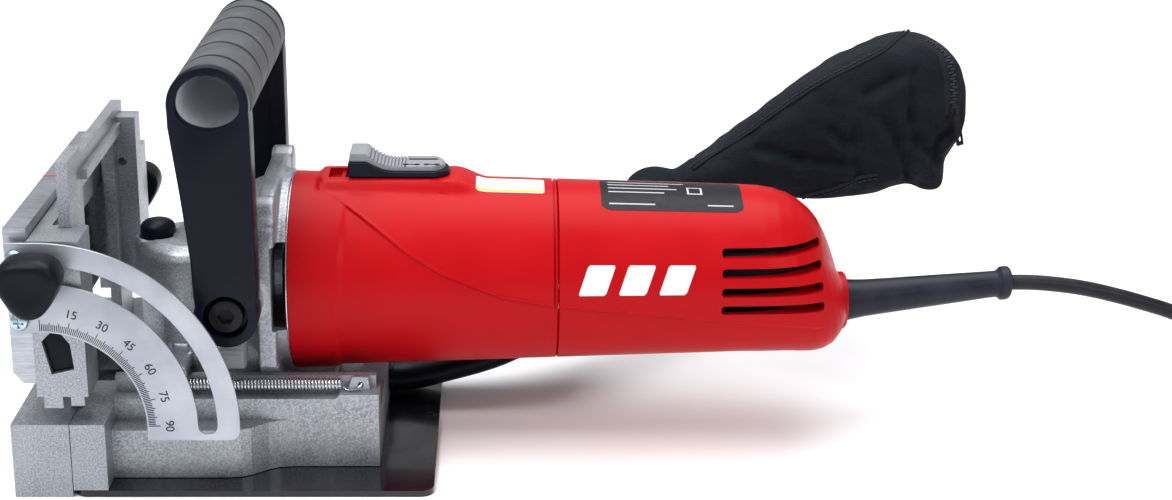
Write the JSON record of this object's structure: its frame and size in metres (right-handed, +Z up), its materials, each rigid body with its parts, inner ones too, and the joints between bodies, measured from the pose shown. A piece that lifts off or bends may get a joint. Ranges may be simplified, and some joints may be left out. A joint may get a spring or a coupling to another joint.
{
  "type": "biscuit joiner",
  "caption": "Hand-held biscuit joiner: plunging motor unit on a slotted base with swinging fence, bow handle, cloth dust bag and mains lead.",
  "frame": {"origin": "underside of the sole plate, straight below the blade spindle", "axes": "+X towards the cable end, -X the working face, +Z up, Y across the tool"},
  "size_m": [0.6152, 0.2276, 0.1656],
  "materials": {
    "cast_aluminium": "sand-blasted die casting",
    "machined_aluminium": "fine ground, satin anodised",
    "steel": "ground",
    "black_steel": "gloss black",
    "zinc": "bluish zinc plate",
    "black_plastic": "fine eroded texture",
    "red_plastic": "semi-gloss moulded",
    "grey_rubber": "matt soft grip",
    "black_rubber": "matt",
    "bag_cloth": "woven cloth",
    "copper": "enamelled winding",
    "brass": "plain",
    "grey_plastic": "plain"
  },
  "bodies": {
    "base": {"base_plate": "black_steel", "front_plate": "machined_aluminium", "base_housing": "cast_aluminium", "guide_plate": "cast_aluminium", "grip_pad_left": "black_rubber", "grip_pad_right": "black_rubber", "return_spring_left": "steel", "return_spring_right": "steel", "dust_port": "black_plastic", "bag_cuff": "black_rubber", "dust_bag": "bag_cloth"},
    "carriage": {"height_carriage": "cast_aluminium"},
    "height_knob": {"height_lock_knob": "black_plastic"},
    "fence": {"angle_fence": "machined_aluminium", "angle_quadrant": "machined_aluminium", "quadrant_screw_lower": "zinc", "quadrant_screw_upper": "zinc"},
    "angle_lock": {"angle_knob": "black_plastic"},
    "motor_unit": {"gear_housing": "cast_aluminium", "spindle_bearing_lower": "steel", "bearing_cap": "steel", "spindle_bearing_upper": "brass", "bearing_plate": "cast_aluminium", "armature_bearing_front": "steel", "motor_housing": "red_plastic", "rear_housing": "red_plastic", "stator": "copper", "bearing_bridge": "black_plastic", "armature_bearing_rear": "steel", "brush_holder_left": "brass", "brush_holder_right": "brass", "brush_left": "black_plastic", "brush_right": "black_plastic", "switch_body": "black_plastic", "cable_boot": "black_rubber", "power_cord": "black_rubber", "cord_coil": "black_rubber", "power_plug": "black_rubber", "handle_arm_left": "black_plastic", "handle_arm_right": "black_plastic", "handle_bolt_left": "black_steel", "handle_bolt_right": "black_steel", "grip_tube": "black_plastic", "grip_sleeve": "grey_rubber"},
    "switch": {"switch_slider": "black_plastic", "switch_rod": "steel"},
    "lock_button": {"spindle_lock_button": "black_plastic"},
    "turret": {"depth_turret": "grey_plastic"},
    "armature": {"armature_core": "steel", "commutator": "copper", "cooling_fan": "grey_plastic", "drive_pinion": "steel"},
    "spindle": {"spindle_shaft": "steel", "crown_gear": "steel", "blade_flange": "steel", "clamp_nut": "steel", "saw_blade": "steel"}
  },
  "joints": [
    {"name": "plunge", "type": "slide", "parent": "base", "child": "motor_unit", "axis": [-1, 0, 0], "range_m": [0, 0.025], "stiffness_N_per_m": 800, "springref_m": -0.02, "deforming": ["return_spring_left", "return_spring_right"]},
    {"name": "height_adjust", "type": "slide", "parent": "base", "child": "carriage", "axis": [0, 0, 1], "range_m": [0, 0.03]},
    {"name": "height_knob_turn", "type": "hinge", "parent": "carriage", "child": "height_knob", "pos_m": [-0.039, 0.08, 0.078], "axis": [0, 1, 0], "range_deg": [0, 270]},
    {"name": "fence_tilt", "type": "hinge", "parent": "carriage", "child": "fence", "pos_m": [-0.0465, 0, 0.0304], "axis": [0, -1, 0], "range_deg": [0, 90]},
    {"name": "angle_knob_turn", "type": "hinge", "parent": "carriage", "child": "angle_lock", "pos_m": [-0.0465, -0.08, 0.0902], "axis": [0, -1, 0], "range_deg": [0, 270]},
    {"name": "switch_slide", "type": "slide", "parent": "motor_unit", "child": "switch", "axis": [-1, 0, 0], "range_m": [0, 0.008]},
    {"name": "lock_press", "type": "slide", "parent": "motor_unit", "child": "lock_button", "axis": [0, 0, -1], "range_m": [0, 0.004], "stiffness_N_per_m": 600, "springref_m": -0.003},
    {"name": "depth_select", "type": "hinge", "parent": "motor_unit", "child": "turret", "pos_m": [0.02, -0.042, 0.05], "axis": [1, 0, 0], "continuous": true},
    {"name": "armature_spin", "type": "hinge", "parent": "motor_unit", "child": "armature", "pos_m": [0.1, 0, 0.0674], "axis": [1, 0, 0], "continuous": true},
    {"name": "spindle_spin", "type": "hinge", "parent": "motor_unit", "child": "spindle", "pos_m": [0, 0, 0.01], "axis": [0, 0, 1], "continuous": true}
  ],
  "couplings": [
    {"joint": "spindle_spin", "follows": "armature_spin", "ratio": 0.27273}
  ]
}
